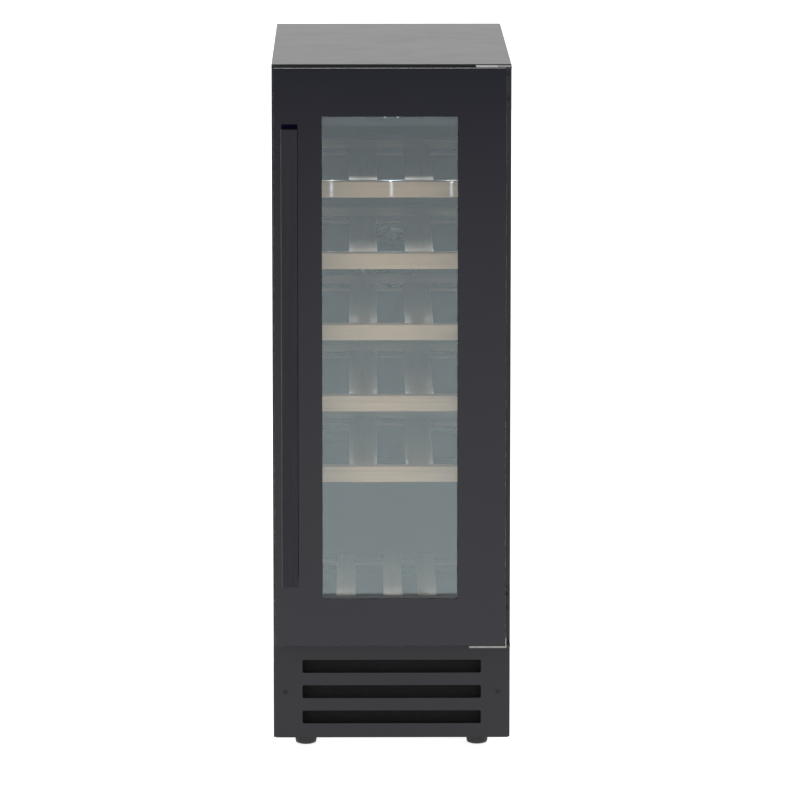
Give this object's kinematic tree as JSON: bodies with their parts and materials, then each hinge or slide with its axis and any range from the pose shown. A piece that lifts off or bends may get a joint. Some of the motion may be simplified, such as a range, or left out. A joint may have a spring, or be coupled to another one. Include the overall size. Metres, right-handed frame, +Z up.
{
  "type": "undercounter wine cooler",
  "caption": "Slim undercounter wine cooler with a full-glass hinged door, bar handle, wooden sliding shelves, lit cavity and slotted kick grille.",
  "frame": {"origin": "on the floor, under the middle of the appliance's outline with its handle", "axes": "+Z up; the door and handle face -Y; +X is the hinge side, on the right from the front"},
  "size_m": [0.295, 0.604, 0.86],
  "materials": {
    "black_sheet": "satin black powder coat on sheet steel",
    "grey_sheet": "galvanised and painted sheet steel, satin",
    "grille_plastic": "satin black moulded plastic",
    "black_plastic": "fine-grained black moulded plastic",
    "liner_plastic": "vacuum-formed dark grey plastic, satin",
    "foam": "rigid polyurethane foam, matte",
    "door_frame_black": "black moulded door frame, satin",
    "front_glass": "tempered glass, black printed border",
    "inner_glass": "clear low-emissivity pane",
    "spacer": "black anodised spacer bar",
    "gasket": "soft black magnetic gasket",
    "handle_metal": "black anodised, satin",
    "zinc": "bright zinc-plated steel",
    "screws": "black oxide screws",
    "bush": "natural acetal",
    "wood": "oiled beech",
    "foot_plastic": "hard black moulded rubber, knurled",
    "compressor_paint": "black enamel, semi-gloss",
    "mount_rubber": "soft black rubber",
    "coil": "bare aluminium tube and fins",
    "cold_plate": "roll-bonded aluminium, satin",
    "tray_plastic": "black polypropylene",
    "display": "gloss black touch panel, white symbols",
    "diffuser": "opal light diffuser",
    "board": "white circuit board with light chips"
  },
  "bodies": {
    "cabinet": {"top_panel": "black_sheet", "left_side_panel": "black_sheet", "right_side_panel": "black_sheet", "back_panel": "grey_sheet", "machine_room_cover": "grey_sheet", "power_inlet": "black_plastic", "base_tray": "grey_sheet", "foot_sockets": "zinc", "kick_grille": "grille_plastic", "grille_screws": "screws", "front_frame": "black_sheet", "inner_liner": "liner_plastic", "insulation_foam": "foam", "condenser_fan_frame": "black_plastic", "duct_cover": "liner_plastic", "evaporator_plate": "cold_plate", "compressor": "compressor_paint", "compressor_mounts": "mount_rubber", "condenser_coil": "coil", "drip_tray": "tray_plastic", "control_housing": "black_plastic", "control_display": "display", "led_lens": "diffuser", "led_board": "board", "bottom_rack_fascia": "wood", "bottom_rack_slats": "wood", "bottom_rack_crossbars": "wood", "top_hinge_bracket": "zinc", "bottom_hinge_bracket": "zinc", "hinge_screws": "screws"},
    "door": {"door_outer_glass": "front_glass", "door_frame": "door_frame_black", "door_spacer": "spacer", "door_inner_glass": "inner_glass", "door_gasket": "gasket", "handle_bar": "handle_metal", "handle_posts": "handle_metal", "door_hinge_plate": "zinc", "hinge_bushes": "bush"},
    "shelf_1": {"shelf_1_fascia": "wood", "shelf_1_slats": "wood", "shelf_1_crossbars": "wood"},
    "shelf_2": {"shelf_2_fascia": "wood", "shelf_2_slats": "wood", "shelf_2_crossbars": "wood"},
    "shelf_3": {"shelf_3_fascia": "wood", "shelf_3_slats": "wood", "shelf_3_crossbars": "wood"},
    "shelf_4": {"shelf_4_fascia": "wood", "shelf_4_slats": "wood", "shelf_4_crossbars": "wood"},
    "shelf_5": {"shelf_5_fascia": "wood", "shelf_5_slats": "wood", "shelf_5_crossbars": "wood"},
    "foot_front_left": {"foot_front_left": "foot_plastic"},
    "foot_front_right": {"foot_front_right": "foot_plastic"},
    "foot_rear_left": {"foot_rear_left": "foot_plastic"},
    "foot_rear_right": {"foot_rear_right": "foot_plastic"},
    "condenser_fan_wheel": {"condenser_fan_blade": "black_plastic"},
    "circulation_fan_wheel": {"circulation_fan_blade": "black_plastic"}
  },
  "joints": [
    {"name": "door_hinge", "type": "hinge", "parent": "cabinet", "child": "door", "pos_m": [0.134, -0.243, 0.14], "axis": [0, 0, 1], "range_deg": [0, 105]},
    {"name": "shelf_1_slide", "type": "slide", "parent": "cabinet", "child": "shelf_1", "axis": [0, -1, 0], "range_m": [0, 0.2]},
    {"name": "shelf_2_slide", "type": "slide", "parent": "cabinet", "child": "shelf_2", "axis": [0, -1, 0], "range_m": [0, 0.2]},
    {"name": "shelf_3_slide", "type": "slide", "parent": "cabinet", "child": "shelf_3", "axis": [0, -1, 0], "range_m": [0, 0.2]},
    {"name": "shelf_4_slide", "type": "slide", "parent": "cabinet", "child": "shelf_4", "axis": [0, -1, 0], "range_m": [0, 0.2]},
    {"name": "shelf_5_slide", "type": "slide", "parent": "cabinet", "child": "shelf_5", "axis": [0, -1, 0], "range_m": [0, 0.2]},
    {"name": "foot_front_left_height", "type": "slide", "parent": "cabinet", "child": "foot_front_left", "axis": [0, 0, -1], "range_m": [0, 0.015]},
    {"name": "foot_front_right_height", "type": "slide", "parent": "cabinet", "child": "foot_front_right", "axis": [0, 0, -1], "range_m": [0, 0.015]},
    {"name": "foot_rear_left_height", "type": "slide", "parent": "cabinet", "child": "foot_rear_left", "axis": [0, 0, -1], "range_m": [0, 0.015]},
    {"name": "foot_rear_right_height", "type": "slide", "parent": "cabinet", "child": "foot_rear_right", "axis": [0, 0, -1], "range_m": [0, 0.015]},
    {"name": "condenser_fan_spin", "type": "hinge", "parent": "cabinet", "child": "condenser_fan_wheel", "pos_m": [0, -0.053, 0.063], "axis": [0, -1, 0], "continuous": true},
    {"name": "circulation_fan_spin", "type": "hinge", "parent": "cabinet", "child": "circulation_fan_wheel", "pos_m": [0, 0.243, 0.556], "axis": [0, -1, 0], "continuous": true}
  ],
  "couplings": [
    {"joint": "shelf_1_slide", "follows": "door_hinge", "m_per_rad": 0.025},
    {"joint": "shelf_2_slide", "follows": "door_hinge", "m_per_rad": 0.025},
    {"joint": "shelf_3_slide", "follows": "door_hinge", "m_per_rad": 0.025},
    {"joint": "shelf_4_slide", "follows": "door_hinge", "m_per_rad": 0.025},
    {"joint": "shelf_5_slide", "follows": "door_hinge", "m_per_rad": 0.025}
  ]
}
